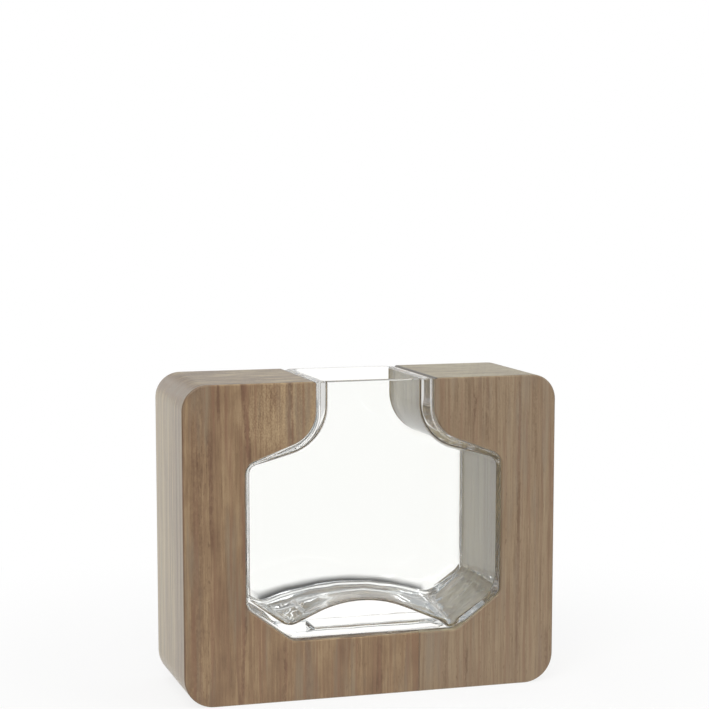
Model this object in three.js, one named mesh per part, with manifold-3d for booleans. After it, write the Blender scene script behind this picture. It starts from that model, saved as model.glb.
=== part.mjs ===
// Wood and glass vase. Two glued staves make a rounded wooden block with a bottle-shaped
// cut-out, which runs right through the depth and is open at the top. A clear glass vase of
// the same outline stands in the cut-out and slides out of it to the front or to the back.
// Millimetres. X runs across the width and Y through the depth, with the front at -Y. +Z is
// up. The origin is in the middle of the base.
import * as THREE from 'three';
import { mergeVertices } from 'three/addons/utils/BufferGeometryUtils.js';
import Module from 'manifold-3d';

// Wooden block
const blockWidth = 160;
const blockHeight = 132;
const blockDepth = 55;
const topCornerRadius = 10.5;
const bottomCornerRadius = 12.5;
const woodEdgeRadius = 0.8;

// Bottle-shaped cut-out in the block
const leftStileWidth = 26;
const rightStileWidth = 24;
const railHeight = 25.2;
const neckOpening = 50.6;
const neckHeight = 21.9;
const shoulderAngle = THREE.MathUtils.degToRad(20.6);
const neckRootRadius = 14.4;
const shoulderRadius = 6;
const chamferRun = 19.5;
const chamferRise = 14.8;
const chamferCornerRadius = 5;

// Glue joint between the staves, measured in from the right side of the neck
const seamFromNeck = 6.3;
const glueLine = 0.1;

// Glass vase
const glassClearance = 0.4;
const glassRecess = 0.3;
const glassEdgeRadius = 2;
const neckWall = 4.2;
const shoulderWall = 2.4;
const sideWall = 1.5;
const chamferWall = 2.2;
const faceWall = 3.3;
const baseThickness = 4.2;
const hollowEdgeRadius = 2;

// Dome that rises in the floor of the glass
const domeRise = 10.5;
const domeHalfWidth = 36;
const domeEndShare = 0.9;
const floorFillet = 4;

// Steps of the round stretches and of the dome
const arcSteps = 4;
const edgeSteps = 3;
const domeStepsAcross = 24;
const domeStepsDeep = 14;
const cutMargin = 10;
const leastRadius = 0.3;

const neckHalf = neckOpening / 2;
const bodyHalf = (blockWidth - leftStileWidth - rightStileWidth) / 2;
const cutoutMiddle = (leftStileWidth - rightStileWidth) / 2;
const seamX = cutoutMiddle + neckHalf - seamFromNeck;
const glassDepth = blockDepth - 2 * glassRecess;
const hollowDepth = glassDepth - 2 * faceWall;
const chamferAngle = Math.atan2(chamferRise, chamferRun);

const wasm = await Module();
wasm.setup();

// A closed outline through the corners [x, z, radius], each corner rounded by its radius
function roundedShape(corners) {
  const shape = new THREE.Shape();
  corners.forEach(([x, z, radius], index) => {
    const corner = new THREE.Vector2(x, z);
    const [beforeX, beforeZ] = corners.at(index - 1);
    const [afterX, afterZ] = corners[(index + 1) % corners.length];
    const toBefore = new THREE.Vector2(beforeX, beforeZ).sub(corner).normalize();
    const toAfter = new THREE.Vector2(afterX, afterZ).sub(corner).normalize();
    const halfAngle = Math.acos(toBefore.dot(toAfter)) / 2;
    const tangent = radius / Math.tan(halfAngle);
    const start = corner.clone().addScaledVector(toBefore, tangent);
    const end = corner.clone().addScaledVector(toAfter, tangent);
    const inward = toBefore.clone().add(toAfter).normalize();
    const middle = corner.clone().addScaledVector(inward, radius / Math.sin(halfAngle));
    const startAngle = Math.atan2(start.y - middle.y, start.x - middle.x);
    const endAngle = Math.atan2(end.y - middle.y, end.x - middle.x);
    const clockwise = toBefore.cross(toAfter) > 0;
    if (index === 0) shape.moveTo(start.x, start.y);
    else shape.lineTo(start.x, start.y);
    shape.absarc(middle.x, middle.y, radius, startAngle, endAngle, clockwise);
  });
  shape.closePath();
  return shape;
}

// The bottle outline's right side, from the top down, moved in from the cut-out's outline by
// the given distances. Its corners stay rounder than the front and back edges of the solid.
function bottleSide({ top, edgeRadius, neck, shoulder, side, chamfer, floor }) {
  const neckX = neckHalf - neck;
  const sideX = bodyHalf - side;
  const floorZ = railHeight + floor;
  const shoulderStart = blockHeight - neckHeight - shoulder / Math.cos(shoulderAngle);
  const shoulderZ = (x) => shoulderStart - (x - neckHalf) * Math.tan(shoulderAngle);
  const chamferFoot = bodyHalf - chamferRun;
  const chamferLift = railHeight + chamfer / Math.cos(chamferAngle);
  const chamferZ = (x) => chamferLift + (x - chamferFoot) * Math.tan(chamferAngle);
  const footX = chamferFoot + (floorZ - chamferLift) / Math.tan(chamferAngle);
  const sharpest = edgeRadius + leastRadius;
  const chamferRadius = Math.max(chamferCornerRadius - chamfer, sharpest);
  return [
    [neckX, top, sharpest],
    [neckX, shoulderZ(neckX), neckRootRadius + neck],
    [sideX, shoulderZ(sideX), Math.max(shoulderRadius - side, sharpest)],
    [sideX, chamferZ(sideX), chamferRadius],
    [footX, floorZ, chamferRadius],
  ];
}

const mirrored = (side) => side.map(([x, z, radius]) => [-x, z, radius]).reverse();

const movedToCutout = (corners) => corners.map(([x, z, radius]) => [x + cutoutMiddle, z, radius]);

// An outline in X and Z, pushed through the depth about Y = 0, with rounded front and back edges
function throughDepth(shape, depth, edgeRadius) {
  const geometry = new THREE.ExtrudeGeometry(shape, {
    depth: depth - 2 * edgeRadius,
    curveSegments: arcSteps,
    bevelEnabled: true,
    bevelThickness: edgeRadius,
    bevelSize: edgeRadius,
    bevelOffset: -edgeRadius,
    bevelSegments: edgeSteps,
  });
  geometry.rotateX(Math.PI / 2);
  geometry.translate(0, depth / 2 - edgeRadius, 0);
  return solid(geometry);
}

function boxBetween(low, high) {
  const size = high.map((value, axis) => value - low[axis]);
  const geometry = new THREE.BoxGeometry(...size);
  geometry.translate(...low.map((value, axis) => value + size[axis] / 2));
  return solid(geometry);
}

function solid(geometry) {
  const bare = geometry.clone();
  bare.deleteAttribute('normal');
  bare.deleteAttribute('uv');
  const merged = mergeVertices(bare);
  const mesh = new wasm.Mesh({
    numProp: 3,
    vertProperties: new Float32Array(merged.attributes.position.array),
    triVerts: new Uint32Array(merged.index.array),
  });
  return new wasm.Manifold(mesh);
}

function namedMesh(name, body, material) {
  const { vertProperties, triVerts } = body.getMesh();
  const geometry = new THREE.BufferGeometry();
  geometry.setAttribute('position', new THREE.BufferAttribute(vertProperties, 3));
  geometry.setIndex(new THREE.BufferAttribute(triVerts, 1));
  geometry.computeVertexNormals();
  const mesh = new THREE.Mesh(geometry, material);
  mesh.name = name;
  return mesh;
}

// The whole block with its cut-out, before it is parted at the glue joint
function woodenBlock() {
  const cutout = bottleSide({
    top: blockHeight,
    edgeRadius: woodEdgeRadius,
    neck: 0,
    shoulder: 0,
    side: 0,
    chamfer: 0,
    floor: 0,
  });
  const halfWidth = blockWidth / 2;
  const outline = roundedShape([
    [-halfWidth, 0, bottomCornerRadius],
    [halfWidth, 0, bottomCornerRadius],
    [halfWidth, blockHeight, topCornerRadius],
    ...movedToCutout(cutout),
    ...movedToCutout(mirrored(cutout)),
    [-halfWidth, blockHeight, topCornerRadius],
  ]);
  return throughDepth(outline, blockDepth, woodEdgeRadius);
}

function stave(block, fromX, toX) {
  const low = [fromX, -blockDepth, -cutMargin];
  const high = [toX, blockDepth, blockHeight + cutMargin];
  return block.intersect(boxBetween(low, high));
}

// The solid under the floor of the hollow: a dome in the middle, and a fillet that sweeps up
// to the front and back walls
function floorSolid() {
  const width = blockWidth;
  const depth = blockDepth;
  const low = railHeight - cutMargin;
  const valley = railHeight + baseThickness;
  const halfDepth = hollowDepth / 2;
  const geometry = new THREE.BoxGeometry(width, 2, 2, domeStepsAcross, domeStepsDeep, 1);
  const position = geometry.attributes.position;
  for (let i = 0; i < position.count; i += 1) {
    const across = position.getX(i);
    const deep = Math.sin(position.getY(i) * Math.PI / 2);
    const atEnd = Math.abs(position.getY(i)) === 1;
    const y = atEnd ? Math.sign(deep) * depth / 2 : deep * halfDepth;
    const domeAcross = Math.max(0, 1 - (across / domeHalfWidth) ** 2);
    const domeDeep = 1 - (1 - domeEndShare) * deep ** 2;
    const intoFillet = Math.min(floorFillet, Math.max(0, Math.abs(y) - halfDepth + floorFillet));
    const fillet = floorFillet - Math.sqrt(floorFillet ** 2 - intoFillet ** 2);
    const top = valley + domeRise * domeAcross * domeDeep + fillet;
    position.setY(i, y);
    position.setZ(i, position.getZ(i) > 0 ? top : low);
  }
  geometry.translate(cutoutMiddle, 0, 0);
  return solid(geometry);
}

function glassVase() {
  const above = blockHeight + cutMargin;
  const outside = bottleSide({
    top: above,
    edgeRadius: glassEdgeRadius,
    neck: glassClearance,
    shoulder: glassClearance,
    side: glassClearance,
    chamfer: glassClearance,
    floor: 0,
  });
  const inside = bottleSide({
    top: above + cutMargin,
    edgeRadius: hollowEdgeRadius,
    neck: glassClearance + neckWall,
    shoulder: glassClearance + shoulderWall,
    side: glassClearance + sideWall,
    chamfer: glassClearance + chamferWall,
    floor: baseThickness / 2,
  });
  const outline = (side) => roundedShape(movedToCutout([...mirrored(side), ...side]));
  const body = throughDepth(outline(outside), glassDepth, glassEdgeRadius);
  const hollow = throughDepth(outline(inside), hollowDepth, hollowEdgeRadius).subtract(floorSolid());
  const belowRim = boxBetween([-blockWidth, -blockDepth, -cutMargin], [blockWidth, blockDepth, blockHeight]);
  return body.subtract(hollow).intersect(belowRim);
}

const leftWood = new THREE.MeshStandardMaterial({ color: 0x8b745c, roughness: 0.6, metalness: 0 });
const rightWood = new THREE.MeshStandardMaterial({ color: 0x8c7a64, roughness: 0.6, metalness: 0 });
const clearGlass = new THREE.MeshStandardMaterial({
  color: 0xf4f7f6,
  roughness: 0.03,
  metalness: 0,
  transparent: true,
  opacity: 0.3,
});

const block = woodenBlock();
const vase = new THREE.Group();
vase.name = 'wood_and_glass_vase';
vase.add(namedMesh('left_stave', stave(block, -blockWidth, seamX - glueLine / 2), leftWood));
vase.add(namedMesh('right_stave', stave(block, seamX + glueLine / 2, blockWidth), rightWood));
vase.add(namedMesh('glass_vase', glassVase(), clearGlass));

export default vase;
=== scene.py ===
import math

import bmesh
import bpy
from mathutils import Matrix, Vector


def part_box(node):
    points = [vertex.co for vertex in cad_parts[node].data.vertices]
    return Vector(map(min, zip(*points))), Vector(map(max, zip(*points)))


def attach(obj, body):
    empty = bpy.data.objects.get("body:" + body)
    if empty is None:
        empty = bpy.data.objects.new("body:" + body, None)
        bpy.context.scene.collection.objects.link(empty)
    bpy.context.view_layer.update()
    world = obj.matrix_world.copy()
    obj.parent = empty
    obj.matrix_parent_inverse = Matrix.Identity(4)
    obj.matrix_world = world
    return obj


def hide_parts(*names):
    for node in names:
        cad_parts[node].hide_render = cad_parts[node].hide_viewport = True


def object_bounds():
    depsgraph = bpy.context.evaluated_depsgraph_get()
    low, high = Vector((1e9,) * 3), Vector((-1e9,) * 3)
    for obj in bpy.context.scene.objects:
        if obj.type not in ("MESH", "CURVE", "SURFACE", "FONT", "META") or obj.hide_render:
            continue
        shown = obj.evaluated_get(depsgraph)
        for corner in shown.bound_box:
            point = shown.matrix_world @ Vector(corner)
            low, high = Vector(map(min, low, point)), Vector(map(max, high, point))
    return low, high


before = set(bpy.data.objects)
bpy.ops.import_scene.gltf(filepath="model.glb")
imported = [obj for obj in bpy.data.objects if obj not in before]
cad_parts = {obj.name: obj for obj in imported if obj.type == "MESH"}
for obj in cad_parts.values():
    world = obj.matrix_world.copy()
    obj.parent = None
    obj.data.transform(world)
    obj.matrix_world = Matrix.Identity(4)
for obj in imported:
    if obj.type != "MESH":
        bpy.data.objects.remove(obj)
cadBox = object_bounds()
scene = bpy.context.scene
scene.view_settings.view_transform = "Standard"
scene.cycles.max_bounces = 64              # light runs along inside the glass walls
scene.cycles.glossy_bounces = 48
scene.cycles.transmission_bounces = 48
scene.cycles.blur_glossy = 0.0            # lets light through the glass to the wood behind it
print("frame loaded:", len(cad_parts), "nodes")


# Camera at the photograph's viewing angle
cameraView = {
    "azimuth": 16.77,              # degrees, the camera stands to the left of straight on
    "elevation": 7.10,             # degrees, looking down
    "distance": 0.8324,
    "aim": (0.0, 0.0, 0.1158),
    "lens": 100.04,                # millimetres on a 36 mm sensor
    "shiftUp": 0.08,               # the object stands low in the picture
}


def placeCamera():
    azimuth = math.radians(cameraView["azimuth"])
    elevation = math.radians(cameraView["elevation"])
    away = Vector((-math.sin(azimuth), -math.cos(azimuth), 0.0)) * math.cos(elevation)
    away.z = math.sin(elevation)
    data = bpy.data.cameras.new("camera")
    data.lens = cameraView["lens"]
    data.shift_y = cameraView["shiftUp"]
    data.clip_start = 0.01
    camera = bpy.data.objects.new("camera", data)
    camera.location = Vector(cameraView["aim"]) + away * cameraView["distance"]
    camera.rotation_euler = away.to_track_quat("Z", "Y").to_euler()
    scene.collection.objects.link(camera)
    scene.camera = camera


placeCamera()
print("camera placed")


# Shader maths: wraps a socket, so that expressions add their own nodes
class Wire:
    def __init__(self, tree, socket=None):
        self.tree = tree
        self.socket = socket

    def node(self, kind, settings=None, inputs=None, output=0):
        made = self.tree.nodes.new(kind)
        for key, value in (settings or {}).items():
            if key == "stops":
                self.setStops(made.color_ramp.elements, value)
            else:
                setattr(made, key, value)
        for key, value in (inputs or {}).items():
            if isinstance(value, Wire):
                self.tree.links.new(value.socket, made.inputs[key])
            else:
                made.inputs[key].default_value = value
        return Wire(self.tree, made.outputs[output] if made.outputs else None)

    def setStops(self, elements, stops):
        while len(elements) < len(stops):
            elements.new(1.0)
        for element, (position, colour) in zip(elements, stops):
            element.position = position
            element.color = (*colour, 1.0)

    def maths(self, operation, *values):
        return self.node("ShaderNodeMath", {"operation": operation}, dict(enumerate(values)))

    def __add__(self, other):
        return self.maths("ADD", self, other)

    def __radd__(self, other):
        return self.maths("ADD", other, self)

    def __sub__(self, other):
        return self.maths("SUBTRACT", self, other)

    def __rsub__(self, other):
        return self.maths("SUBTRACT", other, self)

    def __mul__(self, other):
        return self.maths("MULTIPLY", self, other)

    def __rmul__(self, other):
        return self.maths("MULTIPLY", other, self)

    def __truediv__(self, other):
        return self.maths("DIVIDE", self, other)

    def __pow__(self, other):
        return self.maths("POWER", self, other)

    def ranged(self, low, high, first=0.0, second=1.0):
        inputs = {"Value": self, "From Min": low, "From Max": high, "To Min": first, "To Max": second}
        return self.node("ShaderNodeMapRange", {"interpolation_type": "SMOOTHSTEP"}, inputs)

    def mixed(self, first, second):
        return self.node("ShaderNodeMix", {"data_type": "RGBA"}, {0: self, 6: first, 7: second}, output=2)


def newSheet(name):
    material = bpy.data.materials.new(name)
    material.use_nodes = True
    material.node_tree.nodes.clear()
    return material, Wire(material.node_tree)


# A colour given as it looks on a screen, 0 to 255, as the linear light that shaders take
def screenColour(*levels):
    return tuple(((level / 255 + 0.055) / 1.055) ** 2.4 for level in levels)


# Bottle outline that the cut-out and the glass share, measured from its own middle line
glassLow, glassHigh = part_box("glass_vase")
woodLow, woodHigh = cadBox
bottle = {
    "middle": (glassLow.x + glassHigh.x) / 2,
    "clearance": 0.0004,           # between the wood and the glass
    "neckHalf": 0.0253,
    "neckHeight": 0.0219,
    "shoulderAngle": math.radians(20.6),
    "neckRootRadius": 0.0144,
    "shoulderRadius": 0.006,
    "chamferRun": 0.0195,
    "chamferRise": 0.0148,
    "chamferRadius": 0.005,
    "leastRadius": 0.0003,         # that a corner keeps inside its rounded front or back edge
}
bottle["bodyHalf"] = (glassHigh.x - glassLow.x) / 2 + bottle["clearance"]
bottle["floor"] = glassLow.z
bottle["chamferAngle"] = math.atan2(bottle["chamferRise"], bottle["chamferRun"])


# Wood: growth rings round a pith line, fine lines, fibres and pores drawn out along the grain,
# and the main dark streaks of each board. Millimetres. First what both boards share.
bothWoods = {
    "endSpan": (0.55, 0.97),       # how squarely a face looks up, where it turns into end grain
    "sideSpan": (0.7, 0.98),       # or sideways, where it turns into a side
    "sideBandSize": (40.0, 1.1, 130.0),
    "fleckSize": (0.42, 0.8, 0.75),
    "fleckTurn": (0.0, math.radians(-30), 0.0),
    "fibreDepth": 0.3,
    "fleckDepth": 0.12,            # of the fine dashes outside the speckled patch
    "endDepth": 2.8,
    # painted sheen that makes the sides lighter than the front
    "sideSheenTone": 0.27,
    "sideSheenSlope": 0.011,            # painted sheen: for each millimetre, the sides are lighter to the back
    "edgeHighlightTone": 0.16,              # painted highlight on the eased edges along the top and the rail
    "shadedTone": -0.3,            # painted shade on the eased edges along the sides
    "paintedCornerTones": (0.6, 0.26),    # painted light where the cut-out slants to the rail behind the glass, and painted shade on the rounded top corners
    "paintedCornerSpan": (-0.5, 0.8),     # between which heights they change, as shares of half the block
    "paintedCornerShare": 0.8,
    "mouthShade": screenColour(58, 54, 50),  # painted shade on the wood's edge that is shut in beside the glass
    "mouthShadeSpan": (26.2, 26.9),     # where it ends, from the bottle's middle line
    "mouthShadeHeight": (0.9, 0.96),
    "mouthShadeShare": 0.85,
    "toneStops": (0.1, 0.5, 0.9),
    "bumpStrength": 0.28,
    "bumpHeight": 0.00012,         # metres
    "roughness": 0.44,
    "coat": 0.16,
    "coatRoughness": 0.35,
    "sheen": 0.5,
    "sheenRoughness": 0.35,
}
leftWood = {
    "name": "flatSawnWood",
    "pith": (-38.0, 78.0),         # behind the front face, so the rings lie flat in it
    "ringWidth": 5.2,
    "bow": 3.0,                    # how far the rings swing sideways at half height
    "wander": 7.0,
    "dark": screenColour(102, 75, 53),
    "middle": screenColour(141, 114, 84),
    "light": screenColour(176, 151, 115),
    "red": screenColour(130, 96, 72),
    "redShare": 0.6,
    "grey": screenColour(131, 116, 96),
    "greyShare": 0.6,
    "ringDepth": 0.46,
    "lateDepth": 0.20,
    "lineDepth": 0.60,
    "bandDepth": 0.38,
    "sideDepth": 2.0,
    "mottleDepth": 0.40,
    "poreDepth": 0.22,
    "endStreak": (14.0, 1.5, 0.0),  # length, width and turn of the streaks in the end grain
    "endTone": -0.10,
    "cutTint": (1.01, 1.11, 1.09),  # colour of the end grain and the sides against the front
    "fleckArea": (-33.0, 118.0, 23.0, 17.0),  # middle and half sizes of the speckled patch
    "fleckDepth": 0.65,
    "fleckLight": 0.16,
    "streaks": [
        # x at the foot, at half height and at the top, lowest and highest z, half width, depth
        (-46.0, -50.0, -55.0, 99.0, 134.0, 0.8, 0.60),
        (-56.8, -53.9, -56.4, -2.0, 48.0, 0.7, 0.34),
        (-65.2, -65.2, -65.1, 118.0, 134.0, 0.5, 0.50),
        (-75.0, -74.2, -74.0, -5.0, 140.0, 2.3, 0.20),
        (-70.6, -68.2, -70.8, 66.0, 116.0, 0.8, 0.24),
        (-34.0, -34.6, -35.4, 106.0, 140.0, 0.9, 0.45),
        (-42.5, -42.5, -42.4, 122.0, 131.0, 1.6, 0.26),
        (-38.1, -38.0, -38.0, -2.0, 26.0, 0.7, 0.34),
        (-28.3, -28.3, -28.2, -2.0, 26.0, 0.9, 0.30),
        (2.5, 2.5, 2.5, -2.0, 26.0, 1.2, 0.20),
    ],
    "seed": 3.0,
}
rightWood = {
    "name": "straightGrainWood",
    "pith": (-190.0, 95.0),
    "ringWidth": 3.1,
    "bow": 0.6,
    "wander": 2.2,
    "dark": screenColour(110, 87, 64),
    "middle": screenColour(143, 121, 95),
    "light": screenColour(168, 149, 120),
    "red": screenColour(134, 104, 81),
    "redShare": 0.5,
    "grey": screenColour(139, 125, 107),
    "greyShare": 0.5,
    "ringDepth": 0.22,
    "lateDepth": 0.12,
    "lineDepth": 0.62,
    "bandDepth": 0.30,
    "sideDepth": 1.7,
    "mottleDepth": 0.16,
    "poreDepth": 0.20,
    "endStreak": (12.0, 1.5, 24.0),
    "endTone": 0.20,
    "cutTint": (0.98, 1.08, 1.00),
    "fleckArea": (44.0, 118.0, 22.0, 12.0),
    "fleckDepth": 0.12,
    "fleckLight": -0.04,
    "streaks": [
        (44.0, 44.0, 44.0, 113.0, 127.0, 0.6, 0.46),
        (63.8, 63.7, 64.0, 62.0, 131.0, 0.6, 0.34),
        (63.8, 63.7, 64.0, 8.0, 66.0, 0.8, 0.22),
        (70.6, 70.8, 70.7, 96.0, 133.0, 0.9, 0.18),
        (49.6, 49.5, 49.6, 103.0, 134.0, 0.6, 0.20),
        (40.8, 40.8, 40.8, -2.0, 18.0, 0.6, 0.30),
        (31.4, 31.4, 31.4, -2.0, 22.0, 0.8, 0.20),
        (77.0, 76.9, 76.8, 4.0, 24.0, 0.8, 0.26),
    ],
    "seed": 11.0,
}
perMetre = 1000.0                  # millimetres
blockMiddle = perMetre * (woodLow.z + woodHigh.z) / 2


def woodMaterial(wood):
    material, sheet = newSheet(wood["name"])
    place = sheet.node("ShaderNodeTexCoord", output="Object")
    point = sheet.node("ShaderNodeVectorMath", {"operation": "SCALE"}, {0: place, "Scale": perMetre})
    along = sheet.node("ShaderNodeSeparateXYZ", inputs={0: point}, output="Z")
    across = sheet.node("ShaderNodeSeparateXYZ", inputs={0: point}, output="X")
    deep = sheet.node("ShaderNodeSeparateXYZ", inputs={0: point}, output="Y")
    facing = sheet.node("ShaderNodeTexCoord", output="Normal")
    upright = sheet.node("ShaderNodeSeparateXYZ", inputs={0: facing}, output="Z")
    sideways = sheet.node("ShaderNodeSeparateXYZ", inputs={0: facing}, output="X")
    frontal = sheet.node("ShaderNodeSeparateXYZ", inputs={0: facing}, output="Y")
    endGrain = (upright * upright).ranged(*bothWoods["endSpan"])
    sideFace = (sideways * sideways).ranged(*bothWoods["sideSpan"])
    frontBack = frontal * frontal
    paintedEdgeHighlight = frontBack * upright * upright * 4   # painted highlight on the eased edges along the top and the rail
    shaded = frontBack * sideways * sideways * 4  # painted shade on the eased edges along the sides
    # faces turned half up and half sideways: the rounded top corners and the slants of the cut-out
    corner = upright * upright * sideways * sideways * 4

    # noise with features of the given size in X, Y and Z
    def noise(size, detail=2.0, shift=0.0, turn=(0.0, 0.0, 0.0)):
        moved = (wood["seed"] + shift, wood["seed"] * 2 - shift, shift)
        scale = [1 / length for length in size]
        inputs = {"Vector": point, "Location": moved, "Rotation": turn, "Scale": scale}
        spot = sheet.node("ShaderNodeMapping", inputs=inputs)
        inputs = {"Vector": spot, "Scale": 1.0, "Detail": detail, "Roughness": 0.55}
        return sheet.node("ShaderNodeTexNoise", inputs=inputs)

    def grain(wide, tall, detail=2.0, shift=0.0):
        return noise((wide, wide, tall), detail, shift)

    height = (along - blockMiddle) / blockMiddle
    swing = wood["bow"] * (1 - height * height)
    drift = (grain(34, 170, 1.0) - 0.5) * wood["wander"]
    driftDeep = (grain(26, 150, 1.0, 5.0) - 0.5) * wood["wander"]
    fromPithX = across - wood["pith"][0] - swing + drift
    fromPithY = deep - wood["pith"][1] + driftDeep
    radius = (fromPithX * fromPithX + fromPithY * fromPithY) ** 0.5
    ringPlace = radius / wood["ringWidth"] + (grain(3, 60, 2.0, 9.0) - 0.5) * 0.35
    inputs = {"W": ringPlace * 0.83 + wood["seed"], "Scale": 1.0, "Detail": 3.0, "Roughness": 0.6}
    rings = sheet.node("ShaderNodeTexNoise", {"noise_dimensions": "1D"}, inputs)
    inRing = sheet.node("ShaderNodeMath", {"operation": "FRACT"}, {0: ringPlace})
    inputs = {"W": ringPlace * 0.31 + 40 + wood["seed"], "Scale": 1.0, "Detail": 1.0}
    ringStrength = sheet.node("ShaderNodeTexNoise", {"noise_dimensions": "1D"}, inputs)
    late = inRing.ranged(0.55, 0.97) * (1 - inRing.ranged(0.97, 1.0)) * ringStrength.ranged(0.38, 0.62)
    fibre = grain(0.5, 12, 3.0, 2.0)
    lines = grain(0.95, 28, 2.0, 17.0)
    bands = grain(3.2, 75, 2.0, 4.0)
    sideBands = noise(bothWoods["sideBandSize"], 3.0, 35.0)
    mottle = grain(6, 10, 2.0, 7.0)
    early = 1 - inRing.ranged(0.05, 0.45)
    pores = grain(0.45, 3.0, 1.0, 6.0).ranged(0.58, 0.70) * (0.35 + 0.65 * early)

    # the main dark streaks, a little ragged, each a curve through three places
    ragged = (grain(2.2, 5, 3.0, 21.0) - 0.5) * 2.4
    dotted = grain(0.9, 2.0, 2.0, 23.0).ranged(0.36, 0.6)
    streaked = 0.0
    for foot, middle, top, low, high, halfWidth, depth in wood["streaks"]:
        bend = (top + foot) / 2 - middle
        line = middle + height * (top - foot) / 2 + height * height * bend
        aside = line.maths("ABSOLUTE", across - line + ragged)
        mark = (1 - aside.ranged(halfWidth * 0.3, halfWidth * 1.7)) * depth
        fade = along.ranged(low - 3, low + 5) * (1 - along.ranged(high - 5, high + 3))
        streaked = streaked + mark * fade
    streaked = streaked * (0.35 + 0.65 * dotted) * (1 - endGrain)

    # small slanted dashes where the board is cut flat to its rings
    middleX, middleZ, halfX, halfZ = wood["fleckArea"]
    spreadX = (across - middleX) / halfX
    spreadZ = (along - middleZ) / halfZ
    fleckArea = 1 - (spreadX * spreadX + spreadZ * spreadZ).ranged(0.5, 1.3)
    flecks = noise(bothWoods["fleckSize"], 2.0, 27.0, bothWoods["fleckTurn"]) - 0.5

    streakLong, streakWide, streakTurn = wood["endStreak"]
    endStreaks = noise((streakLong, streakWide, 30.0), 5.0, 31.0, (0.0, 0.0, math.radians(streakTurn)))

    tone = 0.5 + (rings - 0.5) * wood["ringDepth"] + (lines - 0.5) * wood["lineDepth"]
    tone = tone + (fibre - 0.5) * bothWoods["fibreDepth"] + (bands - 0.5) * wood["bandDepth"]
    tone = tone + (mottle - 0.5) * wood["mottleDepth"]
    tone = tone - late * wood["lateDepth"] - pores * wood["poreDepth"] - streaked
    fleckDepth = bothWoods["fleckDepth"] + fleckArea * wood["fleckDepth"]
    tone = tone + flecks * fleckDepth + fleckArea * wood["fleckLight"]
    tone = tone + endGrain * ((endStreaks - 0.5) * bothWoods["endDepth"] + wood["endTone"])
    # painted highlight along the eased edges of the top and the rail
    tone = tone + paintedEdgeHighlight * bothWoods["edgeHighlightTone"]
    banded = (sideBands - 0.5) * wood["sideDepth"]
    # the sides' own grain bands, with painted sheen that lightens them, more so to the back
    tone = tone + sideFace * (banded + bothWoods["sideSheenTone"] + deep * bothWoods["sideSheenSlope"])
    # lighter low down and darker high up: painted light where the cut-out slants to the rail, painted
    # shade on the rounded top corners
    paintedCornerTone = height.ranged(*bothWoods["paintedCornerSpan"], *bothWoods["paintedCornerTones"])
    tone = tone + corner * (paintedCornerTone - tone * bothWoods["paintedCornerShare"] + banded)
    # painted shade along the eased edges of the sides
    tone = tone + shaded * bothWoods["shadedTone"]
    stops = list(zip(bothWoods["toneStops"], (wood["dark"], wood["middle"], wood["light"])))
    colour = sheet.node("ShaderNodeValToRGB", {"stops": stops}, {0: tone})
    grey = grain(5, 55, 2.0, 15.0).ranged(0.5, 0.72) * wood["greyShare"]
    colour = (grey * (1 - endGrain)).mixed(colour, (*wood["grey"], 1.0))
    warmth = (grain(1.7, 60, 2.0, 13.0).ranged(0.5, 0.7) + streaked + late * 0.5) * wood["redShare"]
    colour = (warmth * (1 - endGrain)).mixed(colour, (*wood["red"], 1.0))
    cut = endGrain.maths("MAXIMUM", endGrain, corner.maths("MAXIMUM", corner, sideFace))
    colour = sheet.node("ShaderNodeMix", {"data_type": "RGBA", "blend_type": "MULTIPLY"},
                        {0: cut, 6: colour, 7: (*wood["cutTint"], 1.0)}, output=2)
    # painted shade on the wood's eased edge at the mouth, beside the glass
    fromMouth = across.maths("ABSOLUTE", across - perMetre * bottle["middle"])
    atMouth = height.ranged(*bothWoods["mouthShadeHeight"]) * (1 - fromMouth.ranged(*bothWoods["mouthShadeSpan"]))
    mouthShade = atMouth * upright.ranged(0.2, 0.8) * bothWoods["mouthShadeShare"]
    colour = mouthShade.mixed(colour, (*bothWoods["mouthShade"], 1.0))

    relief = fibre * 0.6 + lines * 0.4 - pores * 1.2 - late * 0.2
    inputs = {"Strength": bothWoods["bumpStrength"], "Distance": bothWoods["bumpHeight"], "Height": relief}
    bump = sheet.node("ShaderNodeBump", inputs=inputs)
    roughness = bothWoods["roughness"] + (lines - 0.5) * 0.3 + pores * 0.15 + (mottle - 0.5) * 0.1
    roughness = roughness + endGrain * (0.55 - endStreaks * 0.5) + sideFace * (0.37 - sideBands * 0.5)
    inputs = {"Base Color": colour, "Roughness": roughness, "Normal": bump, "IOR": 1.5,
              "Sheen Weight": bothWoods["sheen"], "Sheen Roughness": bothWoods["sheenRoughness"],
              "Coat Weight": bothWoods["coat"] * (1 - endGrain),
              "Coat Roughness": bothWoods["coatRoughness"]}
    surface = sheet.node("ShaderNodeBsdfPrincipled", inputs=inputs)
    sheet.node("ShaderNodeOutputMaterial", inputs={"Surface": surface})
    return material


leftWoodMaterial = woodMaterial(leftWood)
rightWoodMaterial = woodMaterial(rightWood)
print("wood finishes made")


def shoulderHeight(x, inset):
    start = woodHigh.z - bottle["neckHeight"] - inset / math.cos(bottle["shoulderAngle"])
    return start - (x - bottle["neckHalf"]) * math.tan(bottle["shoulderAngle"])


def chamferHeight(x, inset):
    foot = bottle["bodyHalf"] - bottle["chamferRun"]
    lift = bottle["floor"] + inset / math.cos(bottle["chamferAngle"])
    return lift + (x - foot) * math.tan(bottle["chamferAngle"])


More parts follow.
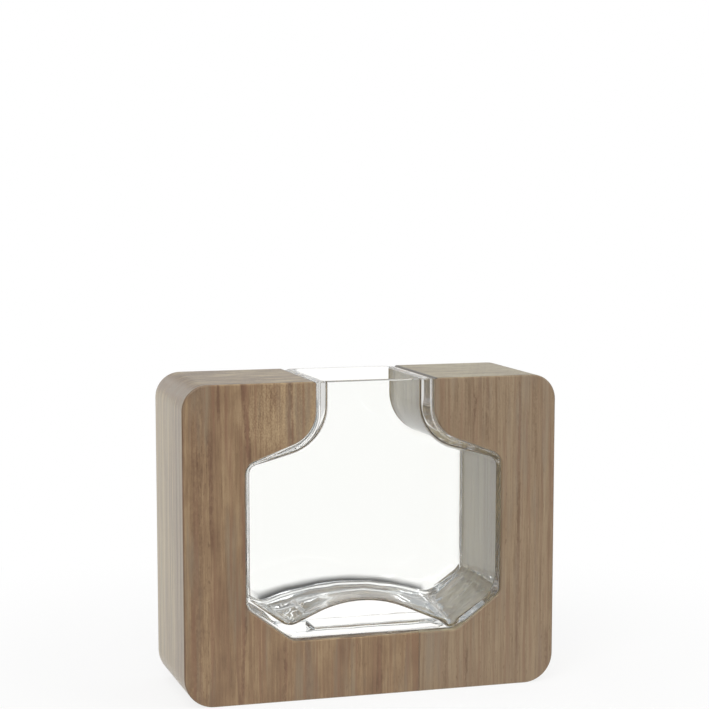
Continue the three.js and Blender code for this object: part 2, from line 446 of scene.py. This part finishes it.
# The right side down to the slanted corner, moved in from the cut-out by the given distances.
# The shoulder has one for its neck end and one for its outer end.
def sideCorners(neck, shoulder, side, chamfer, neckEdges=(0.0, 0.0), bodyEdges=(0.0, 0.0), end=0,
                slantRadius=0.0):
    neckX = bottle["neckHalf"] - neck
    sideX = bottle["bodyHalf"] - side
    sharpest = bodyEdges[end] + bottle["leastRadius"]
    shoulderRadius = max(bottle["shoulderRadius"] - side, sharpest)
    chamferRadius = max(bottle["chamferRadius"] - chamfer, sharpest, slantRadius)
    return [
        (neckX, shoulderHeight(neckX, shoulder[0]), bottle["neckRootRadius"] + neck, neckEdges),
        (sideX, shoulderHeight(sideX, shoulder[1]), shoulderRadius, bodyEdges),
        (sideX, chamferHeight(sideX, chamfer), chamferRadius, bodyEdges),
    ]


def mirrored(corners):
    return [(-x, z, radius, edges) for x, z, radius, edges in reversed(corners)]


# Wooden staves: a filleted outline pushed through the depth
staves = {
    "topCornerRadius": 0.0105,
    "bottomCornerRadius": 0.0125,
    "lugCornerRadius": 0.0011,     # where the cut-out meets the top
    "easedEdge": 0.0008,
    "seamShare": 0.16,             # the edges at the glue joint are eased far less
    "arcPoints": 14,
    "easedSteps": 4,
    "foldAngle": math.radians(50),  # from which an edge counts as sharp
    "mergeDistance": 0.00001,
    "seamTolerance": 0.00002,
}


# For each stave its corners as x, z and radius, and the place of its glue joint
def staveOutlines():
    neck = (bottle["neckHalf"], woodHigh.z, staves["lugCornerRadius"], None)
    foot = (bottle["bodyHalf"] - bottle["chamferRun"], bottle["floor"], bottle["chamferRadius"], None)
    corners = [neck, *sideCorners(0.0, (0.0, 0.0), 0.0, 0.0), foot]
    right = [(x + bottle["middle"], z, radius) for x, z, radius, edges in corners]
    left = [(x + bottle["middle"], z, radius) for x, z, radius, edges in mirrored(corners)]
    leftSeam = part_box("left_stave")[1].x
    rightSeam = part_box("right_stave")[0].x
    leftOutline = [
        (woodLow.x, woodLow.z, staves["bottomCornerRadius"]),
        (leftSeam, woodLow.z, 0.0),
        (leftSeam, bottle["floor"], 0.0),
        *left,
        (woodLow.x, woodHigh.z, staves["topCornerRadius"]),
    ]
    rightOutline = [
        (rightSeam, woodLow.z, 0.0),
        (woodHigh.x, woodLow.z, staves["bottomCornerRadius"]),
        (woodHigh.x, woodHigh.z, staves["topCornerRadius"]),
        *right,
        (rightSeam, bottle["floor"], 0.0),
    ]
    return (leftOutline, leftSeam), (rightOutline, rightSeam)


# Node group that rounds an outline, pushes it through the depth and marks the edges to be eased
def staveTree():
    tree = bpy.data.node_groups.new("staveFromOutline", "GeometryNodeTree")
    sockets = {}
    for name, kind in [("Outline", "Geometry"), ("Depth", "Float"), ("Arc Points", "Int"),
                       ("Seam X", "Float"), ("Seam Share", "Float"), ("Finish", "Material")]:
        made = tree.interface.new_socket(name, in_out="INPUT", socket_type="NodeSocket" + kind)
        sockets[name] = made.identifier
    tree.interface.new_socket("Stave", in_out="OUTPUT", socket_type="NodeSocketGeometry")
    sheet = Wire(tree)
    sizes = tree.nodes.new("NodeGroupInput").outputs
    size = {name: Wire(tree, sizes[name]) for name in sockets}
    cornerRadius = sheet.node("GeometryNodeInputRadius")
    rounded = sheet.node("GeometryNodeFilletCurve", {"mode": "POLY"},
                         {"Curve": size["Outline"], "Radius": cornerRadius, "Count": size["Arc Points"],
                          "Limit Radius": True})
    front = sheet.node("GeometryNodeFillCurve", {"mode": "NGONS"}, {"Curve": rounded})
    pushed = sheet.node("GeometryNodeExtrudeMesh", {"mode": "FACES"},
                        {"Mesh": front, "Offset": (0.0, 0.0, 1.0), "Offset Scale": size["Depth"],
                         "Individual": False})
    back = sheet.node("GeometryNodeFlipFaces", inputs={"Mesh": front})
    joined = tree.nodes.new("GeometryNodeJoinGeometry")
    tree.links.new(pushed.socket, joined.inputs[0])
    tree.links.new(back.socket, joined.inputs[0])
    closed = sheet.node("GeometryNodeMergeByDistance",
                        inputs={"Geometry": Wire(tree, joined.outputs[0]),
                                "Distance": staves["mergeDistance"]})
    halfDepth = sheet.node("ShaderNodeCombineXYZ", inputs={"Y": size["Depth"] * 0.5})
    stood = sheet.node("GeometryNodeTransform",
                       inputs={"Geometry": closed, "Rotation": (math.pi / 2, 0.0, 0.0),
                               "Translation": halfDepth})

    # front and back edges are eased in full, and the edges at the glue joint by their share
    place = sheet.node("GeometryNodeInputPosition")
    fromSeam = sheet.node("ShaderNodeSeparateXYZ", inputs={0: place}) - size["Seam X"]
    atSeam = fromSeam.maths("COMPARE", fromSeam, 0.0, staves["seamTolerance"])
    foldAngle = sheet.node("GeometryNodeInputMeshEdgeAngle")
    sharp = foldAngle.maths("GREATER_THAN", foldAngle, staves["foldAngle"])
    ease = sharp * (1 - atSeam * (1 - size["Seam Share"]))
    marked = sheet.node("GeometryNodeStoreNamedAttribute", {"data_type": "FLOAT", "domain": "EDGE"},
                        {"Geometry": stood, "Name": "bevel_weight_edge", "Value": ease})
    smooth = sheet.node("GeometryNodeSetShadeSmooth", inputs={"Geometry": marked})
    real = sheet.node("GeometryNodeRealizeInstances", inputs={"Geometry": smooth})
    finished = sheet.node("GeometryNodeSetMaterial", inputs={"Geometry": real, "Material": size["Finish"]})
    tree.links.new(finished.socket, tree.nodes.new("NodeGroupOutput").inputs[0])
    return tree, sockets


def plainMesh(source):
    bpy.context.view_layer.update()
    seen = source.evaluated_get(bpy.context.evaluated_depsgraph_get())
    return bpy.data.meshes.new_from_object(seen, preserve_all_data_layers=True,
                                           depsgraph=bpy.context.evaluated_depsgraph_get())


def addPiece(name, mesh):
    piece = bpy.data.objects.new(name, mesh)
    scene.collection.objects.link(piece)
    return piece


def facesOutward(mesh):
    work = bmesh.new()
    work.from_mesh(mesh)
    bmesh.ops.recalc_face_normals(work, faces=work.faces)
    work.to_mesh(mesh)
    work.free()


# Modifiers are run on a piece and taken off again, so that what is left is a plain mesh
def finishedPiece(name, mesh, easedEdge=0.0, easedSteps=0):
    draft = addPiece(name + "Draft", mesh)
    if easedEdge:
        bevel = draft.modifiers.new("easedEdges", "BEVEL")
        bevel.limit_method = "WEIGHT"
        bevel.width = easedEdge
        bevel.segments = easedSteps
    draft.modifiers.new("flatFacesStayFlat", "WEIGHTED_NORMAL").keep_sharp = True
    piece = addPiece(name, plainMesh(draft))
    piece.data.name = name
    bpy.data.objects.remove(draft)
    return piece


def makeStave(name, outline, seamX, material, tree, sockets):
    curve = bpy.data.curves.new(name + "Outline", "CURVE")
    curve.dimensions = "3D"
    spline = curve.splines.new("POLY")
    spline.points.add(len(outline) - 1)
    spline.use_cyclic_u = True
    for point, (x, z, radius) in zip(spline.points, outline):
        point.co = (x, z, 0.0, 1.0)
        point.radius = radius
    draft = addPiece(name + "Outline", curve)
    nodes = draft.modifiers.new("stave", "NODES")
    nodes.node_group = tree
    values = {"Depth": woodHigh.y - woodLow.y, "Arc Points": staves["arcPoints"], "Seam X": seamX,
              "Seam Share": staves["seamShare"], "Finish": material}
    for label, value in values.items():
        nodes[sockets[label]] = value
    mesh = plainMesh(draft)
    bpy.data.objects.remove(draft)
    facesOutward(mesh)
    return finishedPiece(name, mesh, staves["easedEdge"], staves["easedSteps"])


treeAndSockets = staveTree()
leftShape, rightShape = staveOutlines()
leftStave = makeStave("leftStave", *leftShape, leftWoodMaterial, *treeAndSockets)
rightStave = makeStave("rightStave", *rightShape, rightWoodMaterial, *treeAndSockets)
print("staves made:", len(leftStave.data.polygons), "and", len(rightStave.data.polygons), "faces")


# Clear glass, with faint waves in its surface
clearGlass = {
    "tint": (0.985, 0.993, 0.99),
    "ior": 1.5,
    "waveSize": 0.011,
    "waveHeight": 0.00004,
    "floorWaves": 4.0,             # how much stronger the waves are near the floor
    "floorReach": (0.012, 0.030),  # above the underside, where that ends
    "rippleSize": 0.0070,          # smaller ripples in the slanted corner on the right
    "rippleStart": (0.026, 0.038),  # how far to the right they begin
    "ripples": 8.0,
    "roughness": 0.004,
    "smear": 0.012,
    "smearScale": 90.0,
}


def glassMaterial():
    material, sheet = newSheet("clearGlass")
    place = sheet.node("ShaderNodeTexCoord", output="Object")

    def swell(size):
        inputs = {"Vector": place, "Scale": 1 / size, "Detail": 1.0, "Roughness": 0.4}
        return sheet.node("ShaderNodeTexNoise", inputs=inputs)

    inputs = {"Vector": place, "Scale": clearGlass["smearScale"], "Detail": 3.0}
    smears = sheet.node("ShaderNodeTexNoise", inputs=inputs)
    height = sheet.node("ShaderNodeSeparateXYZ", inputs={0: place}, output="Z")
    nearFloor = 1 - height.ranged(*[bottle["floor"] + reach for reach in clearGlass["floorReach"]])
    waves = swell(clearGlass["waveSize"]) * (1 + nearFloor * clearGlass["floorWaves"])
    ripples = swell(clearGlass["rippleSize"])
    across = sheet.node("ShaderNodeSeparateXYZ", inputs={0: place}, output="X")
    onRight = across.ranged(*clearGlass["rippleStart"])
    facing = sheet.node("ShaderNodeTexCoord", output="Normal")
    frontal = sheet.node("ShaderNodeSeparateXYZ", inputs={0: facing}, output="Y")
    waves = waves + ripples * nearFloor * onRight * (1 - frontal * frontal) * clearGlass["ripples"]
    inputs = {"Strength": 1.0, "Distance": clearGlass["waveHeight"], "Height": waves}
    bump = sheet.node("ShaderNodeBump", inputs=inputs)
    roughness = clearGlass["roughness"] + smears.ranged(0.5, 0.75) * clearGlass["smear"]
    inputs = {"Base Color": (*clearGlass["tint"], 1.0), "Roughness": roughness, "IOR": clearGlass["ior"],
              "Transmission Weight": 1.0, "Normal": bump}
    surface = sheet.node("ShaderNodeBsdfPrincipled", inputs=inputs)
    sheet.node("ShaderNodeOutputMaterial", inputs={"Surface": surface})
    return material


# Glass vase: its outside and its hollow are outlines swept through the depth with rounded edges.
# A pair of values is for the front and the back, or for the left and the right where it says so.
glass = {
    "restGap": 0.00012,            # a film of air over the wooden rail
    "rimBevel": (0.0016, 0.0006),  # how far the soft bevel of the rim reaches in and down
    # its shape from the wall up, in shares of that
    "rimProfile": ((0.02, 0.10), (0.08, 0.20), (0.30, 0.41), (0.60, 0.68), (0.90, 0.94), (1.0, 1.0)),
    "neckEdges": ((0.0018, 0.0030), (0.0018, 0.0060)),  # outside rounding at the neck, left and right
    "bodyEdges": ((0.0004, 0.0012), (0.0004, 0.0068)),  # at the shoulders, sides and slanted corners
    "footEdges": (0.0046, 0.0012),  # and along the underside
    "footRadius": 0.005,
    "kneeRun": 0.005,              # from the foot to where the slanted corner keeps its sharper edges
    "kneeEdges": (0.0012, 0.0040),
    "neckWall": 0.0042,
    "shoulderWall": ((0.0034, 0.0012), (0.0034, 0.0016)),  # left and right, each at its neck and outer end
    "sideWall": (0.0014, 0.0008),  # left and right, not quite even
    "slantWallFront": (0.0030, 0.0013),  # left and right
    "slantWallBack": (0.0017, 0.0017),
    "slantRadiusFront": (0.005, 0.016),  # left and right, where the side turns into the slant
    "slantRadiusBack": (0.005, 0.0055),
    "faceWall": (0.0033, 0.0040),
    "hollowNeckEdges": ((0.0018, 0.0026), (0.0018, 0.0048)),
    "hollowEdges": ((0.0004, 0.0012), (0.0004, 0.0050)),
    "crestMiddle": (-0.0055, -0.001),  # of the floor's arch, from the bottle's middle line
    "crestHeight": (0.0145, 0.0124),  # above the underside
    "crestRadius": (0.045, 0.120),
    "archSlope": (math.radians(24), math.radians(14)),
    "valleyRadiusFront": (0.0065, 0.0030),  # left and right
    "valleyRadiusBack": (0.010, 0.010),
    "floorEdges": (0.0020, 0.0064),
    "floorStep": 0.0011,           # a low step up in the floor, in front of its back edge
    "stepRows": ((0.0159, 0.0), (0.0162, 0.2), (0.0164, 0.8), (0.0166, 1.0)),  # place, share of the height
    "recessSpan": (-0.0225, 0.0300),  # left and right ends of a shallow recess in the underside
    "recessEnds": (-0.0065, 0.0140),  # its front and its back
    "recessHeight": 0.0021,
    "recessSlope": 0.0006,
    "recessSteps": 4,
    "flatWithin": 0.00003,         # of the underside's level, what the recess may lift
    "rowPlaces": (-0.018, -0.012, 0.0, 0.007, 0.012),  # more rows between the front and the back edges
    "arcSteps": 14,
    "edgeSteps": 7,
}


# Points of an open path through rounded corners: place, normal on the right-hand side, edge radii
def roundedPath(corners):
    path = []
    for index, (x, z, radius, edges) in enumerate(corners):
        here = Vector((x, z))
        before = Vector(corners[max(index - 1, 0)][:2])
        after = Vector(corners[min(index + 1, len(corners) - 1)][:2])
        arrive = ((here - before) if index else (after - here)).normalized()
        leave = ((after - here) if index < len(corners) - 1 else (here - before)).normalized()
        turn = math.atan2(arrive.x * leave.y - arrive.y * leave.x, arrive.dot(leave))
        steps = glass["arcSteps"] if radius else 0
        side = math.copysign(radius, turn)
        start = here - arrive * radius * math.tan(abs(turn) / 2)
        centre = start - Vector((arrive.y, -arrive.x)) * side
        for step in range(steps + 1):
            angle = math.atan2(arrive.y, arrive.x) + (turn * step / steps if steps else 0.0)
            normal = Vector((math.sin(angle), -math.cos(angle)))
            path.append((centre + normal * side, normal, edges))
    return path


# Places with a row of points in the recess's wall, outward from each of its two ends
def recessRows(ends):
    low, high = ends
    steps = glass["recessSteps"]
    slopes = [glass["recessSlope"] * step / steps for step in range(steps + 1)]
    return [low - slope for slope in reversed(slopes)] + [high + slope for slope in slopes]


# Rows of a section from its front face to its back: inset, y, normal across, normal deep.
# The third edge value, if there is one, is the height of the step at the back.
def sectionRows(faces, edges):
    rows = {}
    front, back, lift = edges if len(edges) == 3 else (*edges, 0.0)
    for hand, face, edge, raised in zip((-1, 1), faces, (front, back), (0.0, lift)):
        rows[hand] = []
        for step in range(glass["edgeSteps"] + 1):
            angle = math.pi / 2 * step / glass["edgeSteps"]
            y = face - hand * edge * (1 - math.cos(angle))
            inset = edge * (1 - math.sin(angle)) + raised
            rows[hand].append((inset, y, math.sin(angle), hand * math.cos(angle)))
    places = sorted([*glass["rowPlaces"], *recessRows(glass["recessEnds"])])
    flat = [(0.0, y, 1.0, 0.0) for y in places]
    flat += [(lift * share, y, 1.0, 0.0) for y, share in glass["stepRows"]]
    return rows[-1] + flat + rows[1][::-1]


def sweptSkin(work, frontPath, backPath, faces):
    grid = []
    front, back = faces
    for (place, normal, edges), (backPlace, backNormal, backEdges) in zip(frontPath, backPath):
        line = []
        for inset, y, across, deep in sectionRows(faces, edges):
            share = (y - front) / (back - front)
            spot = place.lerp(backPlace, share) - normal.lerp(backNormal, share).normalized() * inset
            line.append(work.verts.new((spot.x + bottle["middle"], y, spot.y)))
        grid.append(line)
    for line, following in zip(grid, grid[1:]):
        for quad in zip(line, following, following[1:], line[1:]):
            work.faces.new(quad)
    work.faces.new([line[0] for line in grid])
    work.faces.new([line[-1] for line in reversed(grid)])
    return grid


# The loop round the mouth, with the level direction that its wall faces
def mouthLoop(grid, path, faces):
    loop = []
    for line, (place, normal, edges), order in [(grid[0], path[0], 1), (grid[-1], path[-1], -1)]:
        for vert, (inset, y, across, deep) in list(zip(line, sectionRows(faces, edges)))[::order]:
            loop.append((vert, Vector((normal.x * across, deep, 0.0))))
    return loop


def joinRings(work, ring, following):
    for index in range(len(ring)):
        before = index - 1
        work.faces.new((ring[before], ring[index], following[index], following[before]))


# The bevel of the rim on one wall: towards is 1 on the outside and -1 in the hollow
def bevelledRim(work, loop, towards):
    rings = [[vert for vert, normal in loop]]
    reach, height = glass["rimBevel"]
    for inShare, upShare in glass["rimProfile"]:
        inward = reach * inShare * towards
        up = Vector((0.0, 0.0, height * upShare))
        rings.append([work.verts.new(vert.co - normal * inward + up) for vert, normal in loop])
    for ring, following in zip(rings, rings[1:]):
        joinRings(work, ring, following)
    return rings[-1]


# One side of the outside down to the foot, with the corners of its right side
def outsideSide(hand, floor, end):
    gap = bottle["clearance"]
    neckEdges = glass["neckEdges"][hand]
    rim = (bottle["neckHalf"] - gap, glassHigh.z - glass["rimBevel"][1], 0.0, neckEdges)
    side = sideCorners(gap, (gap, gap), gap, gap, neckEdges, glass["bodyEdges"][hand], end)
    footX = (floor - chamferHeight(0.0, gap)) / math.tan(bottle["chamferAngle"])
    footRadius = max(glass["footRadius"], glass["footEdges"][end] + bottle["leastRadius"])
    kneeX = footX + glass["kneeRun"]
    knee = (kneeX, chamferHeight(kneeX, gap), 0.0, glass["kneeEdges"])
    return [rim, *side, knee, (footX, floor, footRadius, glass["footEdges"])]


# The outline of the outside at the front (end 0) or at the back (end 1)
def outsidePath(end):
    floor = bottle["floor"] + glass["restGap"]
    underside = [(x, floor, 0.0, glass["footEdges"]) for x in recessRows(glass["recessSpan"])]
    left = mirrored(outsideSide(0, floor, end))[::-1]
    right = outsideSide(1, floor, end)[::-1]
    return roundedPath(left + underside + right)


# Lifts the middle of the underside, with an even S-shaped wall round it
def pressRecess(grid):
    left, right = glass["recessSpan"]
    front, back = glass["recessEnds"]
    highest = bottle["floor"] + glass["restGap"] + glass["flatWithin"]
    for vert in [vert for line in grid for vert in line if vert.co.z < highest]:
        x = vert.co.x - bottle["middle"]
        beyondX = max(left - x, x - right)
        beyondY = max(front - vert.co.y, vert.co.y - back)
        share = 1 - max(beyondX, beyondY, 0.0) / glass["recessSlope"]
        if share > 0:
            vert.co.z += glass["recessHeight"] * share * share * (3 - 2 * share)


# One side of the hollow down to the slanted wall, with the corners of its right side
def hollowSide(hand, slantWall, end):
    gap = bottle["clearance"]
    neckEdges = glass["hollowNeckEdges"][hand]
    slantRadius = (glass["slantRadiusFront"], glass["slantRadiusBack"])[end][hand]
    neckInset = gap + glass["neckWall"]
    rim = (bottle["neckHalf"] - neckInset, glassHigh.z - glass["rimBevel"][1], 0.0, neckEdges)
    shoulders = [gap + wall for wall in glass["shoulderWall"][hand]]
    return [rim, *sideCorners(neckInset, shoulders, gap + glass["sideWall"][hand], gap + slantWall[hand],
                              neckEdges, glass["hollowEdges"][hand], end, slantRadius)]


# The hollow's outline at the front (end 0) or at the back (end 1)
def hollowPath(end):
    slantWall = (glass["slantWallFront"], glass["slantWallBack"])[end]
    valleyRadius = (glass["valleyRadiusFront"], glass["valleyRadiusBack"])[end]
    slope = glass["archSlope"][end]
    radius = glass["crestRadius"][end]
    middle = glass["crestMiddle"][end]
    apexZ = bottle["floor"] + glass["crestHeight"][end] + radius * (1 / math.cos(slope) - 1)
    edges = (*glass["floorEdges"], glass["floorStep"])

    # where the arch's flank meets the slanted wall on one side
    def valley(hand):
        lift = chamferHeight(0.0, bottle["clearance"] + slantWall[hand])
        way = (-1, 1)[hand]
        flankStart = apexZ + way * middle * math.tan(slope)
        reach = (flankStart - lift) / (math.tan(slope) + math.tan(bottle["chamferAngle"]))
        return (way * reach, flankStart - reach * math.tan(slope), valleyRadius[hand], edges)

    left = mirrored(hollowSide(0, slantWall, end))[::-1]
    right = hollowSide(1, slantWall, end)[::-1]
    return roundedPath([*left, valley(0), (middle, apexZ, radius, edges), valley(1), *right])


def makeGlass():
    work = bmesh.new()
    outerFaces = (glassLow.y, glassHigh.y)
    innerFaces = (glassLow.y + glass["faceWall"][0], glassHigh.y - glass["faceWall"][1])
    outside = outsidePath(0)
    hollow = hollowPath(0)
    outerGrid = sweptSkin(work, outside, outsidePath(1), outerFaces)
    innerGrid = sweptSkin(work, hollow, hollowPath(1), innerFaces)
    outerRim = bevelledRim(work, mouthLoop(outerGrid, outside, outerFaces), 1)
    innerRim = bevelledRim(work, mouthLoop(innerGrid, hollow, innerFaces), -1)
    joinRings(work, outerRim, innerRim)
    pressRecess(outerGrid)
    bmesh.ops.recalc_face_normals(work, faces=work.faces)
    for face in work.faces:
        face.smooth = True
    mesh = bpy.data.meshes.new("glassVaseDraft")
    work.to_mesh(mesh)
    work.free()
    mesh.materials.append(glassMaterial())
    return finishedPiece("glassVase", mesh)


glassVase = makeGlass()
print("glass made:", len(glassVase.data.polygons), "faces")


# Each row holds a piece, its body, its record slot and the node that it stands for; the piece is attached
# to its body and the node is hidden
for piece, body, slot, node in [
    (leftStave, "wooden_block", "left_wood", "left_stave"),
    (rightStave, "wooden_block", "right_wood", "right_stave"),
    (glassVase, "glass", "clear_glass", "glass_vase"),
]:
    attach(piece, body)
    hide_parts(node)


# Studio: pale floor, white surroundings and soft lamps
studio = {
    "floorSize": 60.0,
    "floorColour": (0.93, 0.93, 0.925),
    "floorShow": 0.82,             # how much of the floor shows as plain white, the rest keeps the shadow
    "shadowReach": (0.10, 0.30),   # from where to where the floor turns plain white
    "glassShadowReach": (0.045, 0.10),   # where the floor seen through the glass goes from a painted shadow to white
    "nearFloor": 0.06,             # how bright that painted shadow is at its darkest
    "glassFloor": (0.995, 0.985, 0.965),  # its colour there
    "glassMirror": 0.68,           # how bright it is mirrored inside the glass
    "skyLight": (0.38, 0.75),      # light from all round, and from the backdrop
    "glassLight": (0.46, 1.1),     # the same for wood that is lit through the glass
    "backSpan": (40.0, 95.0),      # degrees from the backdrop's middle, where its light fades
    "glassSky": (0.985, 0.968, 0.94),  # colour of the surroundings through the glass
    "glassGain": 1.135,            # makes up for what the faces of the glass mirror away
    "backdrop": (0.288, 0.957, 0.0),  # the way to the middle of the white backdrop
    "clearSpan": (34.0, 62.0),     # degrees from there, where what shows through glass turns dim
    "mirrorSpan": (12.0, 40.0),    # what shows mirrored inside the glass
    "sheenSpan": (60.0, 90.0),     # and what shows mirrored on the outside
    "dim": (0.275, 0.295, 0.305),  # what shows beyond those spans
    "frontDim": 0.3,               # the floor in front of the block, where something mirrors it
    "frontReach": (-0.3, -0.05),
    "lamps": [
        # name, place, size, watts
        ("key", (-0.55, -0.95, 1.05), 0.9, 8.6),
        ("fill", (0.95, -0.75, 0.55), 0.9, 3.0),
        ("top", (0.1, -0.3, 1.3), 1.2, 2.6),
    ],
}


def rayKind(sheet, name):
    return sheet.node("ShaderNodeLightPath", output=name)


# 1 for rays that show the background: straight, mirrored or through glass
def seenRay(sheet):
    names = ["Is Camera Ray", "Is Glossy Ray", "Is Transmission Ray"]
    straight, glossy, through = [rayKind(sheet, name) for name in names]
    return straight.maths("MAXIMUM", straight, glossy.maths("MAXIMUM", glossy, through))


# 1 once a ray has been mirrored, gone through glass or lit a matt surface
def hasBeen(sheet, depthName):
    depth = rayKind(sheet, depthName)
    return depth.maths("MINIMUM", depth, 1.0)


def makeFloor():
    material, sheet = newSheet("paleFloor")
    plain = sheet.node("ShaderNodeBsdfDiffuse", inputs={"Color": (*studio["floorColour"], 1.0)})
    place = sheet.node("ShaderNodeTexCoord", output="Object")
    deep = sheet.node("ShaderNodeSeparateXYZ", inputs={0: place}, output="Y")
    inFront = 1 - deep.ranged(*studio["frontReach"])
    away = sheet.node("ShaderNodeVectorMath", {"operation": "LENGTH"}, {0: place}, output="Value")
    bounced = hasBeen(sheet, "Glossy Depth")
    inGlass = hasBeen(sheet, "Transmission Depth")
    through = rayKind(sheet, "Is Transmission Ray")
    # painted shadow on the floor close behind the block, where it is seen through the glass
    throughGlass = away.ranged(*studio["glassShadowReach"], studio["nearFloor"], studio["glassGain"])
    strength = 1 + through * (throughGlass - 1)
    strength = strength * (1 - bounced * inFront * (1 - studio["frontDim"]))
    strength = strength * (1 - bounced * inGlass * (1 - studio["glassMirror"]))
    colour = through.mixed((1.0, 1.0, 1.0, 1.0), (*studio["glassFloor"], 1.0))
    white = sheet.node("ShaderNodeEmission", inputs={"Color": colour, "Strength": strength})
    plainShow = away.ranged(*studio["shadowReach"], studio["floorShow"], 1.0)
    share = seenRay(sheet) * (plainShow + through * (1 - plainShow))
    both = sheet.node("ShaderNodeMixShader", inputs={0: share, 1: plain, 2: white})
    sheet.node("ShaderNodeOutputMaterial", inputs={"Surface": both})
    half = studio["floorSize"] / 2
    mesh = bpy.data.meshes.new("floor")
    corners = [(-half, -half, 0), (half, -half, 0), (half, half, 0), (-half, half, 0)]
    mesh.from_pydata(corners, [], [(0, 1, 2, 3)])
    mesh.materials.append(material)
    addPiece("floor", mesh)


def makeWorld():
    world = bpy.data.worlds.new("studio")
    world.use_nodes = True
    world.node_tree.nodes.clear()
    scene.world = world
    sheet = Wire(world.node_tree)
    direction = sheet.node("ShaderNodeTexCoord", output="Generated")
    towards = sheet.node("ShaderNodeVectorMath", {"operation": "DOT_PRODUCT"},
                         {0: direction, 1: studio["backdrop"]}, output="Value")

    # 1 near the backdrop's middle, 0 further round
    def backdrop(closeness, span):
        near, far = [math.cos(math.radians(angle)) for angle in span]
        return closeness.ranged(far, near)

    bounced = hasBeen(sheet, "Glossy Depth")
    clear = backdrop(towards.maths("ABSOLUTE", towards), studio["clearSpan"])
    inGlass = hasBeen(sheet, "Transmission Depth")
    outside = backdrop(towards, studio["sheenSpan"])
    mirror = outside + inGlass * (backdrop(towards, studio["mirrorSpan"]) - outside)
    shown = clear + bounced * (mirror - clear)
    straight = rayKind(sheet, "Is Camera Ray")
    shown = straight.maths("MAXIMUM", straight, shown)
    through = rayKind(sheet, "Is Transmission Ray")
    lighting = hasBeen(sheet, "Diffuse Depth")
    fromBack = backdrop(towards, studio["backSpan"])
    levels = [studio["skyLight"], studio["glassLight"]]
    skyLight, glassLight = [low + fromBack * (high - low) for low, high in levels]
    skyLight = skyLight + through * (glassLight - skyLight)
    strength = (1 + through * (studio["glassGain"] - 1)) * (1 - lighting) + skyLight * lighting
    share = shown.maths("MAXIMUM", shown, lighting)
    white = through.mixed((1.0, 1.0, 1.0, 1.0), (*studio["glassSky"], 1.0))
    colour = share.mixed((*studio["dim"], 1.0), white)
    light = sheet.node("ShaderNodeBackground", inputs={"Color": colour, "Strength": strength})
    sheet.node("ShaderNodeOutputWorld", inputs={"Surface": light})


def makeLamps():
    middle = Vector((0.0, 0.0, (woodLow.z + woodHigh.z) / 2))
    for name, place, size, watts in studio["lamps"]:
        data = bpy.data.lights.new(name, "AREA")
        data.shape = "DISK"
        data.size = size
        data.energy = watts
        lamp = bpy.data.objects.new(name, data)
        lamp.location = place
        lamp.rotation_euler = (Vector(place) - middle).to_track_quat("Z", "Y").to_euler()
        scene.collection.objects.link(lamp)


makeFloor()
makeWorld()
makeLamps()
print("studio lit")
